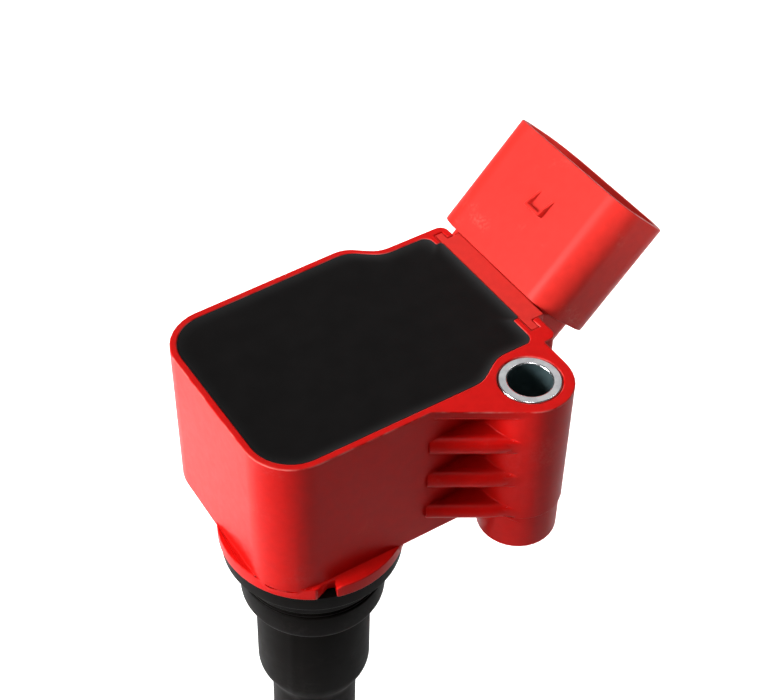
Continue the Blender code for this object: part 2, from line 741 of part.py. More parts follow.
def section_starts():
    """Where each rib of the secondary bobbin starts along the coil's axis."""
    pitch = (BOBBIN_TO - BOBBIN_FROM - SECONDARY_RIB) / SECONDARY_SECTIONS
    return [BOBBIN_FROM + pitch * index for index in range(SECONDARY_SECTIONS + 1)]


def secondary_bobbin():
    """A tube with ribs that part the winding into sections, standing on the housing's floor."""
    spool = prism("secondary_bobbin", square(SECONDARY_TUBE, SQUARE_ROUND), BOBBIN_FROM, BOBBIN_TO, along_coil())
    starts = section_starts()
    for start in starts:
        rib = square(SECONDARY_OUT, SQUARE_ROUND * 2)
        add(spool, prism("rib", rib, start, start + SECONDARY_RIB, along_coil()))
    foot = SECONDARY_TUBE / 2
    for start in (starts[0], starts[-1]):
        low = (start, COIL_Y - foot, FLOOR_Z + SEAT_GAP)
        add(spool, box("foot", low, (start + SECONDARY_RIB, COIL_Y + foot, COIL_Z - foot)))
    bore = square(SECONDARY_BORE, SQUARE_ROUND)
    cut(spool, prism("bore", bore, BOBBIN_FROM - CUT_PAST, BOBBIN_TO + CUT_PAST, along_coil()))
    half = CROSSOVER_WIDE / 2 + SEAT_GAP
    slot = box(
        "crossover_slot",
        (starts[0] + SECONDARY_RIB, COIL_Y - half, COIL_Z + SECONDARY_TUBE / 2),
        (starts[-1], COIL_Y + half, COIL_Z + SECONDARY_OUT),
    )
    return cut(spool, slot)


def secondary_winding():
    """Thousands of turns of fine wire in sections, joined where the wire crosses the ribs."""
    starts = section_starts()
    low, high = starts[0] + SECONDARY_RIB + SEAT_GAP, starts[-1] - SEAT_GAP
    tall = COIL_Z + SECONDARY_WIRE_IN / 2
    block = box(
        "secondary_winding",
        (low, COIL_Y - CROSSOVER_WIDE / 2, tall),
        (high, COIL_Y + CROSSOVER_WIDE / 2, tall + SECONDARY_BUILD / 2),
    )
    for start, after in zip(starts, starts[1:]):
        ring_low, ring_high = start + SECONDARY_RIB + SEAT_GAP, after - SEAT_GAP
        ring = prism("ring", square(SECONDARY_WIRE_OUT, SQUARE_ROUND * 2), ring_low, ring_high, along_coil())
        inner = square(SECONDARY_WIRE_IN, SQUARE_ROUND)
        cut(ring, prism("inner", inner, ring_low - CUT_PAST, ring_high + CUT_PAST, along_coil()))
        add(block, ring)
    return block


# Igniter


def igniter_sink():
    """The plate that carries the igniter, standing on the floor at the core's end."""
    low = (SINK_X, COIL_Y - SINK_WIDE / 2, FLOOR_Z + SEAT_GAP)
    return box("igniter_heat_sink", low, (SINK_X + SINK_THICK, COIL_Y + SINK_WIDE / 2, FLOOR_Z + SINK_TALL))


def igniter():
    """The moulded power switch that drives the primary."""
    edge = IGNITER_EDGE
    half = IGNITER_WIDE / 2
    low, high = FLOOR_Z + SEAT_GAP, FLOOR_Z + SEAT_GAP + IGNITER_TALL

    def face(inset):
        return [
            (-half + inset, low + inset - COIL_Z),
            (half - inset, low + inset - COIL_Z),
            (half - inset, high - inset - COIL_Z),
            (-half + inset, high - inset - COIL_Z),
        ]

    return loft(
        "igniter_module",
        [(face(0), IGNITER_X), (face(0), IGNITER_X + IGNITER_THICK - edge), (face(edge), IGNITER_X + IGNITER_THICK)],
        along_coil(),
    )


def terminals():
    """The four blades, from the igniter to the shroud."""
    for index in range(BLADE_COUNT):
        yield strip(f"terminal_{index + 1}", blade_path(index), BLADE_WIDE, BLADE_THICK)


# High-voltage path


def hv_terminal():
    """The pin through the tower's web, with a head in the cup and a foot on the resistor."""
    foot_top = TOWER_WEB_Z - SEAT_GAP
    head_low = FLOOR_Z + SEAT_GAP
    profile = [
        (0, foot_top - TERMINAL_FOOT_TALL),
        (TERMINAL_FOOT_R, foot_top - TERMINAL_FOOT_TALL),
        (TERMINAL_FOOT_R, foot_top),
        (TERMINAL_PIN_R, foot_top),
        (TERMINAL_PIN_R, head_low),
        (TERMINAL_HEAD_R, head_low),
        (TERMINAL_HEAD_R, head_low + TERMINAL_HEAD_TALL),
        (0, head_low + TERMINAL_HEAD_TALL),
    ]
    return turned("hv_terminal", profile, SMALL_SIDES)


def hv_diode():
    """The diode between the secondary and the pin, with a lead at each end."""
    height = FLOOR_Z + SEAT_GAP + DIODE_R
    along = Matrix.Translation((DIODE_X, DIODE_Y, height)) @ Matrix.Rotation(math.pi / 2, 4, "Y")
    barrel = rod("hv_diode", DIODE_R, 0, DIODE_LONG, SMALL_SIDES, place=along)
    lead_z = FLOOR_Z + SEAT_GAP + LEAD_R + (TERMINAL_HEAD_TALL - 2 * LEAD_R) / 2
    inner = [
        Vector((DIODE_X + OVERLAP, DIODE_Y, height)),
        Vector((DIODE_X - DIODE_R, DIODE_Y, height)),
        Vector((0, DIODE_Y + DIODE_R, lead_z)),
        Vector((0, -TERMINAL_HEAD_R - SEAT_GAP, lead_z)),
    ]
    far = DIODE_X + DIODE_LONG
    outer = [Vector((far - OVERLAP, DIODE_Y, height)), Vector((BOBBIN_TO, DIODE_Y, height))]
    for name, path in (("inner_lead", inner), ("outer_lead", outer)):
        add(barrel, as_mesh(tube(name, path, LEAD_R, 2)))
    return barrel


def resistor():
    """The interference suppressor in the tower, with a metal cap at each end."""
    low = RESISTOR_TOP - RESISTOR_LONG
    cap = RESISTOR_CAP_LONG
    profile = [
        (0, low),
        (RESISTOR_CAP_R, low),
        (RESISTOR_CAP_R, low + cap),
        (RESISTOR_R, low + cap),
        (RESISTOR_R, RESISTOR_TOP - cap),
        (RESISTOR_CAP_R, RESISTOR_TOP - cap),
        (RESISTOR_CAP_R, RESISTOR_TOP),
        (0, RESISTOR_TOP),
    ]
    return turned("suppressor_resistor", profile, SMALL_SIDES)


def spring_points():
    """The contact spring's wire: an even helix whose ends run level."""
    count = SPRING_TURNS * SPRING_POINTS
    span = SPRING_LONG - 2 * SPRING_WIRE_R
    top = SPRING_TOP - SPRING_WIRE_R
    points = []
    for index in range(count + 1):
        turn = index / SPRING_POINTS
        share = index / count
        angle = math.tau * turn
        points.append(Vector((SPRING_R * math.cos(angle), SPRING_R * math.sin(angle), top - span * share)))
    return points


def contact_spring():
    """The spring that presses on the plug's tip."""
    points = spring_points()
    closest = min(
        (points[i] - points[j]).length
        for i in range(len(points))
        for j in range(i + SPRING_POINTS // 2, min(i + 2 * SPRING_POINTS, len(points)))
    )
    print(f"contact spring: least gap between turns {(closest - 2 * SPRING_WIRE_R) / MM:.2f} mm")
    return as_mesh(tube("contact_spring", points, SPRING_WIRE_R, 1))


# Rubber


def seal():
    """The grommet that closes the plug well under the flange."""
    top = FLANGE_Z - SEAT_GAP
    inner = TOWER_R + SEAT_GAP
    groove_low = SEAL_GROOVE_Z - SEAL_GROOVE_TALL
    profile = [
        (inner, top),
        (inner, SEAL_END_Z),
        (SEAL_LIP_R - SEAL_LIP_ROUND, SEAL_END_Z),
        (SEAL_LIP_R - 0.3 * SEAL_LIP_ROUND, SEAL_END_Z + 0.3 * SEAL_LIP_ROUND),
        (SEAL_LIP_R, SEAL_END_Z + SEAL_LIP_ROUND),
        (SEAL_LIP_R, groove_low - SEAL_GROOVE_TALL / 2),
        (SEAL_GROOVE_R, groove_low),
        (SEAL_GROOVE_R, SEAL_GROOVE_Z),
        (SEAL_WAIST_R, SEAL_GROOVE_Z + SEAL_GROOVE_TALL / 2),
        (SEAL_WAIST_R, SEAL_BAND_Z - SEAL_GROOVE_TALL),
        (SEAL_TOP_R - SEAL_GROOVE_TALL, SEAL_BAND_Z - SEAL_GROOVE_TALL / 2),
        (SEAL_TOP_R, SEAL_BAND_Z),
        (SEAL_TOP_R, top),
    ]
    return turned("seal_grommet", profile, FINE_SIDES)


def boot():
    """The rubber boot: a bulb on the tower, a slim stem and the socket for the spark plug."""
    tower = TOWER_R + SEAT_GAP
    shoulder = BOOT_END_Z + SOCKET_LONG
    taper_end = BULB_END_Z - BULB_TAPER
    profile = [
        (tower, BOOT_TOP_Z),
        (tower, TOWER_END_Z - SEAT_GAP),
        (STEM_BORE_R, TOWER_END_Z - SEAT_GAP),
        (STEM_BORE_R, shoulder),
        (SOCKET_BORE_R, shoulder - 2 * (SOCKET_BORE_R - STEM_BORE_R)),
        (SOCKET_BORE_R, BOOT_END_Z + SOCKET_LIP),
        (SOCKET_BORE_R + SOCKET_LIP, BOOT_END_Z),
        (SOCKET_R - SOCKET_LIP, BOOT_END_Z),
        (SOCKET_R, BOOT_END_Z + SOCKET_LIP),
        (SOCKET_R, shoulder - SOCKET_LIP),
        (STEM_R, shoulder + SOCKET_SHOULDER),
    ]
    for step in range(5):
        share = step / 4
        swell = (1 + math.cos(math.pi * (1 - share))) / 2
        profile.append((STEM_R + (BULB_R - STEM_R) * swell, taper_end + BULB_TAPER * share))
    profile.append((BULB_R, BOOT_TOP_Z))
    return turned("plug_boot", profile, FINE_SIDES)


# Assembly


def main():
    for old in list(bpy.data.objects):
        bpy.data.objects.remove(old)
    red = look("red_nylon", (0.62, 0.016, 0.014), 0.38)
    resin = look("black_resin", (0.012, 0.012, 0.013), 0.28)
    rubber = look("black_rubber", (0.018, 0.016, 0.015), 0.6)
    steel = look("zinc_plate", (0.72, 0.73, 0.74), 0.25, 1.0)
    tin = look("tinned_brass", (0.72, 0.68, 0.58), 0.3, 1.0)
    lamination = look("core_iron", (0.22, 0.22, 0.23), 0.45, 1.0)
    magnet = look("magnet_grey", (0.12, 0.12, 0.13), 0.5, 0.6)
    bobbin = look("bobbin_nylon", (0.55, 0.53, 0.48), 0.5)
    copper = look("enamelled_copper", (0.55, 0.2, 0.06), 0.35, 0.9)
    package = look("chip_epoxy", (0.02, 0.02, 0.022), 0.5)
    aluminium = look("heat_sink_aluminium", (0.78, 0.78, 0.79), 0.35, 1.0)
    ceramic = look("resistor_ceramic", (0.75, 0.72, 0.66), 0.4)

    made = [
        (housing(), red),
        (connector(), red),
        (mount_bush(), steel),
        (potting(), resin),
        (core_frame(), lamination),
        (core_leg(), lamination),
        (core_magnet(), magnet),
        (primary_bobbin(), bobbin),
        (primary_winding(), copper),
        (secondary_bobbin(), bobbin),
        (secondary_winding(), copper),
        (igniter_sink(), aluminium),
        (igniter(), package),
        (hv_terminal(), tin),
        (hv_diode(), package),
        (resistor(), ceramic),
        (contact_spring(), steel),
        (seal(), rubber),
        (boot(), rubber),
    ]
    made += [(blade, tin) for blade in terminals()]
    for piece, material in made:
        finish(piece, material)


main()
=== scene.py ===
"""Looks of a coil-on-plug ignition coil, as an add-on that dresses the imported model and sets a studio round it."""

import math

import bmesh
import bpy
from mathutils import Matrix, Vector


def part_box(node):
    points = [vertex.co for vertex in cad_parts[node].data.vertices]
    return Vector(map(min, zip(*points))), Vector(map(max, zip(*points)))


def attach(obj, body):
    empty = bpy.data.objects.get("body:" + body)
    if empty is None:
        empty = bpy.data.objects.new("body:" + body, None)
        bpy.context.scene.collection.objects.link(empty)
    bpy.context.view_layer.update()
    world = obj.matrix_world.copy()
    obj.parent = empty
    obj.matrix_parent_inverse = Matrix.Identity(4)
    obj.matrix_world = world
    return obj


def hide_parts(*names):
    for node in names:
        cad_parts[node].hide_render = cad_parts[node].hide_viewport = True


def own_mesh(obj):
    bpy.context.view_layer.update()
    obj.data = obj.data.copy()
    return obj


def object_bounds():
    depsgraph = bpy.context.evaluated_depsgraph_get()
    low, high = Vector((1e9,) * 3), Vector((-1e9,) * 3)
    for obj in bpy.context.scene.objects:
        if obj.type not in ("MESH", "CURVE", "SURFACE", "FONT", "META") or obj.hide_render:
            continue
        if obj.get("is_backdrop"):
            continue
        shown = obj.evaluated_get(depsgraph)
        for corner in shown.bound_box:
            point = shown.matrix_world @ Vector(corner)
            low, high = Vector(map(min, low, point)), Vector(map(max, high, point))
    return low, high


bl_info = {
    "name": "Ignition Coil Looks",
    "version": (1, 0, 0),
    "blender": (4, 5, 0),
    "location": "View3D > Sidebar > Ignition Coil",
    "description": "Dresses the ignition coil's solids and sets a studio round them",
    "category": "Object",
}

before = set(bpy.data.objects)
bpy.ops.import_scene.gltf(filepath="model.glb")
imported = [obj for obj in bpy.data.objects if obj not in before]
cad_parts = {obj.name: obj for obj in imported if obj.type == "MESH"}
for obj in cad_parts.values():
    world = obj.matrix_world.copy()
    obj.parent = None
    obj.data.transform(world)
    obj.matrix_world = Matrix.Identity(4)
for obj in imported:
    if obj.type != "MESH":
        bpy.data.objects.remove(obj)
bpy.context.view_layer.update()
MM = 0.001
ROUND_STEP = math.radians(5)

# Sizes of the solids that the looks follow

EAR_ROOT = Vector((12.6, -12.5)) * MM
EAR_R = 6.6 * MM
RIB_HEIGHTS = ((21.2, 24.4), (13.9, 17.1), (7.1, 9.8))
NOTCH_CORNERS = ((-5.74, -12.4), (-9.93, -14.07), (-4.94, -16), (-3.55, -12.4))
NOTCH_HEIGHTS = (0.2, 4.2)
CUP_WALL = 1.1 * MM
CUP_END = 33.9 * MM
CUP_CORNER = 7.6 * MM
TAB_SLOT = 1.1 * MM
TAB_FROM = -3.05 * MM
TAB_TO = 17.45 * MM
TOWER_BORE = 6.5 * MM

# Colours of scuffs and dust, of a pale edge line that is painted highlight and partly wear, and of a painted highlight
# on the resin's edge

SCUFF_RED = (0.75, 0.2, 0.17)
# Pale red of the line along the top edges: partly a painted edge highlight, partly wear
EDGE_HIGHLIGHT_AND_WEAR_RED = (0.85, 0.34, 0.3)
RUBBER_DUST = (0.035, 0.029, 0.026)
# Grey of the painted highlight along the resin's edge where it creeps up the walls
RESIN_EDGE_HIGHLIGHT = (0.045, 0.045, 0.046)

# The photograph's camera, with its focal length in pixels

PHOTO_WIDE = 773
PHOTO_FOCAL = 1751.43
SENSOR_WIDE = 36


# Mesh helpers


def new_piece(name, mesh, material, *nodes, body="coil"):
    """A smooth-shaded object that rides a body in place of the named CAD nodes."""
    bmesh.ops.recalc_face_normals(mesh, faces=mesh.faces)
    data = bpy.data.meshes.new(name)
    mesh.to_mesh(data)
    mesh.free()
    data.materials.append(material)
    data.shade_smooth()
    data.set_sharp_from_angle(angle=math.radians(40))
    made = bpy.data.objects.new(name, data)
    bpy.context.scene.collection.objects.link(made)
    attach(made, body)
    if nodes:
        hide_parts(*nodes)
    return made


def rounded(corners):
    """Points of an outline whose corners (x, y, radius) are rounded by arcs."""
    points = []
    for index, (x, y, radius) in enumerate(corners):
        here = Vector((x, y))
        to_last = (Vector(corners[index - 1][:2]) - here).normalized()
        to_next = (Vector(corners[(index + 1) % len(corners)][:2]) - here).normalized()
        half = to_last.angle(to_next) / 2
        centre = here + (to_last + to_next).normalized() * (radius / math.sin(half))
        start = here + to_last * (radius / math.tan(half)) - centre
        end = here + to_next * (radius / math.tan(half)) - centre
        sweep = math.atan2(start.cross(end), start.dot(end))
        steps = max(2, math.ceil(abs(sweep) / ROUND_STEP))
        points += [centre + Matrix.Rotation(sweep * step / steps, 2) @ start for step in range(steps + 1)]
    return points


def skin(rings):
    """A bmesh over rings of equally many points, each bridged to the next, closed at both ends."""
    mesh = bmesh.new()
    loops = []
    for ring in rings:
        verts = [mesh.verts.new(point) for point in ring]
        loops.append([mesh.edges.new(pair) for pair in zip(verts, verts[1:] + verts[:1])])
    for last, loop in zip(loops, loops[1:]):
        bmesh.ops.bridge_loops(mesh, edges=last + loop)
    for end in (loops[0], loops[-1]):
        bmesh.ops.contextual_create(mesh, geom=end)
    return mesh


def loft(sections):
    """A bmesh through level outlines, each given with its height."""
    return skin([[(point[0], point[1], height) for point in outline] for outline, height in sections])


def spun(profile, sides, x=0.0, y=0.0):
    """A closed profile of (radius, height) points turned about a vertical axis."""
    mesh = bmesh.new()
    verts = [mesh.verts.new((radius, 0.0, height)) for radius, height in profile]
    edges = [mesh.edges.new((a, b)) for a, b in zip(verts, verts[1:] + verts[:1])]
    bmesh.ops.spin(
        mesh, geom=verts + edges, cent=(0, 0, 0), axis=(0, 0, 1), angle=math.tau, steps=sides, use_merge=True
    )
    bmesh.ops.translate(mesh, vec=(x, y, 0), verts=mesh.verts)
    return mesh


def arc(centre_r, centre_z, radius, start, end, steps=6):
    """Profile points on an arc, angles in degrees from +radius towards +height."""
    angles = [math.radians(start + (end - start) * step / steps) for step in range(steps + 1)]
    return [(centre_r + radius * math.cos(a), centre_z + radius * math.sin(a)) for a in angles]


def soften(node, width, segments=2):
    """Rounds a CAD node's sharp edges by modifiers."""
    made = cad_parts[node]
    weld = made.modifiers.new("Weld", "WELD")
    weld.merge_threshold = 0.002 * MM
    flat = made.modifiers.new("Flat", "DECIMATE")
    flat.decimate_type = "DISSOLVE"
    flat.angle_limit = math.radians(0.5)
    edge = made.modifiers.new("Edges", "BEVEL")
    edge.width = width
    edge.segments = segments
    edge.limit_method = "ANGLE"
    edge.angle_limit = math.radians(35)
    edge.use_clamp_overlap = False
    even = made.modifiers.new("Even", "WEIGHTED_NORMAL")
    even.weight = 80
    return made


def cut_through(made, mesh):
    """Takes a shape out of a softened CAD node by a modifier, with a tool that isn't shown."""
    bmesh.ops.recalc_face_normals(mesh, faces=mesh.faces)
    data = bpy.data.meshes.new("Cutter")
    mesh.to_mesh(data)
    mesh.free()
    tool = bpy.data.objects.new("Cutter", data)
    bpy.context.scene.collection.objects.link(tool)
    tool.hide_render = True
    tool.hide_viewport = True
    away = made.modifiers.new("Cut", "BOOLEAN")
    away.object = tool
    away.solver = "EXACT"
    made.modifiers.move(len(made.modifiers) - 1, len(made.modifiers) - 2)


def paint(made, look):
    """Gives a CAD node one material in place of its own."""
    made.data.materials.clear()
    made.data.materials.append(look)


# Materials


def node_tree(name):
    """A new material with its node tree and shader."""
    made = bpy.data.materials.new(name)
    made.use_nodes = True
    return made, made.node_tree, made.node_tree.nodes["Principled BSDF"]


def grain(tree, scale, detail=3.0):
    """Noise on object coordinates."""
    coords = tree.nodes.new("ShaderNodeTexCoord")
    noise = tree.nodes.new("ShaderNodeTexNoise")
    noise.inputs["Scale"].default_value = scale
    noise.inputs["Detail"].default_value = detail
    tree.links.new(coords.outputs["Object"], noise.inputs["Vector"])
    return noise


def blend_colours(tree, source, dark, light, low=0.35, high=0.65):
    """A ramp between two colours."""
    ramp = tree.nodes.new("ShaderNodeValToRGB")
    ramp.color_ramp.elements[0].position = low
    ramp.color_ramp.elements[1].position = high
    ramp.color_ramp.elements[0].color = (*dark, 1)
    ramp.color_ramp.elements[1].color = (*light, 1)
    tree.links.new(source, ramp.inputs["Fac"])
    return ramp.outputs["Color"]


def spread(tree, source, low, high):
    """Maps a 0 to 1 value onto a range."""
    step = tree.nodes.new("ShaderNodeMapRange")
    step.inputs["To Min"].default_value = low
    step.inputs["To Max"].default_value = high
    tree.links.new(source, step.inputs["Value"])
    return step.outputs["Result"]


def dull(tree, shader, noise, rough):
    """Sets a roughness that a noise varies a little."""
    tree.links.new(spread(tree, noise.outputs["Fac"], rough * 0.85, rough * 1.15), shader.inputs["Roughness"])


def bump(tree, shader, source, strength, distance):
    """Raises the surface by a noise."""
    step = tree.nodes.new("ShaderNodeBump")
    step.inputs["Strength"].default_value = strength
    step.inputs["Distance"].default_value = distance
    tree.links.new(source, step.inputs["Height"])
    tree.links.new(step.outputs["Normal"], shader.inputs["Normal"])


def surface(name, dark, light, rough, metallic=0.0, scale=300.0, relief=0.05, depth=0.00005, specular=0.5):
    """A Principled material with a little grain in its colour, roughness and relief."""
    made, tree, shader = node_tree(name)
    noise = grain(tree, scale)
    tree.links.new(blend_colours(tree, noise.outputs["Fac"], dark, light), shader.inputs["Base Color"])
    dull(tree, shader, noise, rough)
    shader.inputs["Metallic"].default_value = metallic
    shader.inputs["Specular IOR Level"].default_value = specular
    bump(tree, shader, noise.outputs["Fac"], relief, depth)
    return made


def stretch(tree, noise, low, high):
    """A noise's values between two levels, drawn out to 0 and 1."""
    step = tree.nodes.new("ShaderNodeMapRange")
    step.inputs["From Min"].default_value = low
    step.inputs["From Max"].default_value = high
    tree.links.new(noise.outputs["Fac"], step.inputs["Value"])
    return step.outputs["Result"]


def product(tree, first, second):
    """Two values multiplied, the second a socket or a number."""
    step = tree.nodes.new("ShaderNodeMath")
    step.operation = "MULTIPLY"
    tree.links.new(first, step.inputs[0])
    if isinstance(second, float):
        step.inputs[1].default_value = second
    else:
        tree.links.new(second, step.inputs[1])
    return step.outputs["Value"]


def mix_colours(tree, factor, under, over):
    """A colour laid over another by a factor."""
    step = tree.nodes.new("ShaderNodeMix")
    step.data_type = "RGBA"
    tree.links.new(factor, step.inputs[0])
    tree.links.new(under, step.inputs[6])
    step.inputs[7].default_value = (*over, 1)
    return step.outputs[2]


def height_band(tree, middle, half):
    """1 at a height, falling to 0 at half a width from it."""
    coords = tree.nodes.new("ShaderNodeTexCoord")
    parts = tree.nodes.new("ShaderNodeSeparateXYZ")
    tree.links.new(coords.outputs["Object"], parts.inputs["Vector"])
    off = tree.nodes.new("ShaderNodeMath")
    off.operation = "SUBTRACT"
    off.inputs[1].default_value = middle
    tree.links.new(parts.outputs["Z"], off.inputs[0])
    away = tree.nodes.new("ShaderNodeMath")
    away.operation = "ABSOLUTE"
    tree.links.new(off.outputs["Value"], away.inputs[0])
    step = tree.nodes.new("ShaderNodeMapRange")
    step.inputs["From Max"].default_value = half
    step.inputs["To Min"].default_value = 1
    step.inputs["To Max"].default_value = 0
    tree.links.new(away.outputs["Value"], step.inputs["Value"])
    return step.outputs["Result"]


def dimmed(colour, share):
    """A colour at a share of its brightness."""
    return tuple(channel * share for channel in colour)


# Settings


class CoilPlasticSettings(bpy.types.PropertyGroup):
    colour: bpy.props.FloatVectorProperty(
        name="Red", description="Colour of the housing", default=(0.62, 0.006, 0.0045), size=3, subtype="COLOR"
    )
    paler: bpy.props.FloatVectorProperty(
        name="Paler red", description="Colour of the connector", default=(0.66, 0.028, 0.021), size=3, subtype="COLOR"
    )
    rough: bpy.props.FloatProperty(
        name="Roughness", description="How matt the mouldings are", default=0.36, min=0, max=1, subtype="FACTOR"
    )
    proud: bpy.props.FloatProperty(
        name="Rib noses", description="How far the ribs' noses stand out", default=0.42 * MM, unit="LENGTH", precision=5
    )
    edge: bpy.props.FloatProperty(
        name="Edge", description="Radius of the mouldings' edges", default=0.22 * MM, unit="LENGTH", precision=5
    )


class CoilRubberSettings(bpy.types.PropertyGroup):
    colour: bpy.props.FloatVectorProperty(
        name="Black", description="Colour of seal and boot", default=(0.0036, 0.0027, 0.0023), size=3, subtype="COLOR"
    )
    rough: bpy.props.FloatProperty(
        name="Roughness", description="How matt the rubber is", default=0.55, min=0, max=1, subtype="FACTOR"
    )
    seam: bpy.props.FloatProperty(
        name="Seam", description="Height of the boot's parting seam", default=0.1 * MM, unit="LENGTH", precision=5
    )


class CoilResinSettings(bpy.types.PropertyGroup):
    colour: bpy.props.FloatVectorProperty(
        name="Resin", description="Colour of the potting", default=(0.0074, 0.0068, 0.0068), size=3, subtype="COLOR"
    )
    rise: bpy.props.FloatProperty(
        name="Rise", description="How far the resin creeps up the walls", default=0.44 * MM, unit="LENGTH", precision=5
    )


class CoilStudioSettings(bpy.types.PropertyGroup):
    key: bpy.props.FloatProperty(name="Key", description="Power of the light on the left", default=1.04, unit="POWER")
    over: bpy.props.FloatProperty(name="Over", description="Power of the light above", default=0.3, unit="POWER")
    back: bpy.props.FloatProperty(name="Back", description="Power of the wide light behind", default=2.9, unit="POWER")
    top: bpy.props.FloatProperty(name="Top", description="Power of the high light", default=22, unit="POWER")
    side: bpy.props.FloatProperty(
        name="Side", description="Power of the light on the connector", default=0.0035, unit="POWER"
    )
    pool: bpy.props.FloatProperty(name="Pool", description="Power of the light on the floor", default=0.3, unit="POWER")
    world: bpy.props.FloatProperty(name="World", description="Strength of the surround", default=0.03, min=0)
    backdrop: bpy.props.FloatProperty(
        name="Backdrop", description="Strength of the surround as the camera sees it", default=0.65, min=0
    )
    glow: bpy.props.FloatProperty(
        name="Glow", description="How much lighter the floor is as the camera sees it", default=0.45, min=0
    )


def settings(name):
    """One of the add-on's groups of settings."""
    return getattr(bpy.context.scene, name)


def red_plastic(name, colour, specular, scuffs, edge_z=None):
    """Moulded red plastic with fine mottling, pale scuffs and, at a given height, a pale edge line that is painted
    highlight and partly wear.
    """
    rough = settings("coil_plastic").rough
    made, tree, shader = node_tree(name)
    fine = grain(tree, 700)
    tint = blend_colours(tree, fine.outputs["Fac"], dimmed(colour, 0.93), tuple(colour))
    patches = stretch(tree, grain(tree, 130, 5.0), 0.6, 0.74)
    scuff = product(tree, patches, stretch(tree, grain(tree, 2200), 0.4, 0.7))
    tint = mix_colours(tree, product(tree, scuff, scuffs), tint, SCUFF_RED)
    if edge_z is not None:
        # A pale line along the top edges, painted as an edge highlight and partly as wear
        band = height_band(tree, edge_z - 0.16 * MM, 0.15 * MM)
        highlight_and_wear = product(tree, band, stretch(tree, grain(tree, 260, 6.0), 0.42, 0.6))
        tint = mix_colours(tree, product(tree, highlight_and_wear, 0.55), tint, EDGE_HIGHLIGHT_AND_WEAR_RED)
    tree.links.new(tint, shader.inputs["Base Color"])
    dull(tree, shader, fine, rough)
    shader.inputs["Specular IOR Level"].default_value = specular
    bump(tree, shader, fine.outputs["Fac"], 0.08, 0.00005)
    return made


def black_rubber():
    """The dusty rubber of seal and boot, made once."""
    made = bpy.data.materials.get("Black rubber")
    if made is None:
        choice = settings("coil_rubber")
        colour = tuple(choice.colour)
        made, tree, shader = node_tree("Black rubber")
        fine = grain(tree, 500)
        tint = blend_colours(tree, fine.outputs["Fac"], dimmed(colour, 0.7), colour)
        patches = stretch(tree, grain(tree, 110, 5.0), 0.5, 0.75)
        dust = product(tree, patches, stretch(tree, grain(tree, 1500), 0.45, 0.7))
        tint = mix_colours(tree, product(tree, dust, 0.35), tint, RUBBER_DUST)
        tree.links.new(tint, shader.inputs["Base Color"])
        dull(tree, shader, fine, choice.rough)
        shader.inputs["Specular IOR Level"].default_value = 0.055
        bump(tree, shader, fine.outputs["Fac"], 0.15, 0.0001)
    return made


def bright_metal():
    """The zinc plating of bush and spring, made once."""
    made = bpy.data.materials.get("Bright zinc")
    if made is None:
        made = surface("Bright zinc", (0.66, 0.67, 0.69), (0.8, 0.81, 0.82), 0.24, 1.0, 700, 0.05, 0.00003)
    return made


# Pieces


class COIL_OT_housing(bpy.types.Operator):
    """Dress the red cup with its ear, flange and tower"""

    bl_idname = "coil.housing"
    bl_label = "Housing"

    def execute(self, context):
        choice = settings("coil_plastic")
        made = soften("coil_housing", choice.edge)
        cut_through(made, notch())
        look = red_plastic("Red plastic", choice.colour, 0.08, 0.1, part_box("coil_housing")[1].z)
        paint(made, look)
        for number, (low, high) in enumerate(RIB_HEIGHTS, 1):
            new_piece(f"rib_front_{number}", rib_front(low * MM, high * MM, choice.proud), look)
        return {"FINISHED"}


def notch():
    """The flange's notch, out from the cup's wall and up through the flange."""
    outline = [(x * MM, y * MM) for x, y in NOTCH_CORNERS]
    return loft([(outline, height * MM) for height in NOTCH_HEIGHTS])


def rib_front(low, high, proud):
    """The full-round front of one of the ear's ribs, from inside the wall into the boss."""
    box_low, box_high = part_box("mount_bush")
    across = ((box_low + box_high) / 2).to_2d() - EAR_ROOT
    lean = math.atan2(across.y, across.x) - math.asin(EAR_R / across.length)
    along = Vector((math.cos(lean), math.sin(lean)))
    inward = Vector((-along.y, along.x))
    reach = math.sqrt(across.length_squared - EAR_R**2)
    radius = (high - low) / 2 + 0.06 * MM
    steps, sides = 12, 24
    rings = []
    for step in range(steps + 1):
        share = step / steps
        sink = radius - proud + 1.1 * MM * max(0, share - 0.55) ** 2 / 0.2
        middle = EAR_ROOT + along * (reach * share) + inward * sink
        ring = []
        for side in range(sides):
            turn = math.tau * side / sides
            spot = middle - inward * (radius * math.cos(turn))
            ring.append((spot.x, spot.y, (low + high) / 2 + radius * math.sin(turn)))
        rings.append(ring)
    return skin(rings)


class COIL_OT_connector(bpy.types.Operator):
    """Dress the red connector with its shroud and latch"""

    bl_idname = "coil.connector"
    bl_label = "Connector"

    def execute(self, context):
        choice = settings("coil_plastic")
        made = soften("connector_housing", choice.edge * 0.8)
        paint(made, red_plastic("Paler red plastic", choice.paler, 0.12, 0.35))
        return {"FINISHED"}


class COIL_OT_bush(bpy.types.Operator):
    """Turn the steel bush in the ear"""

    bl_idname = "coil.bush"
    bl_label = "Bush"

    def execute(self, context):
        low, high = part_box("mount_bush")
        outer = (high.x - low.x) / 2
        inner = outer - 1.45 * MM
        edge = 0.25 * MM
        profile = [(inner + edge, low.z), (outer - edge, low.z)]
        profile += arc(outer - edge, low.z + edge, edge, -90, 0)[1:]
        profile += arc(outer - edge, high.z - edge, edge, 0, 90)
        profile += arc(inner + edge * 1.4, high.z - edge * 1.4, edge * 1.4, 90, 180)
        profile += [(inner, low.z + edge)]
        middle = (low + high) / 2
        made = new_piece("bush", spun(profile, 72, middle.x, middle.y), bright_metal(), "mount_bush")
        # Painted shade: the bore's inside wall gets a dark zinc so that the hole looks shaded
        made.data.materials.append(surface("Zinc in painted bore shade", (0.03, 0.055, 0.06), (0.05, 0.08, 0.085), 0.5, 0.3, 500))
        for face in made.data.polygons:
            if (face.center - middle).xy.length < inner + 0.05 * MM:
                face.material_index = 1
        return {"FINISHED"}


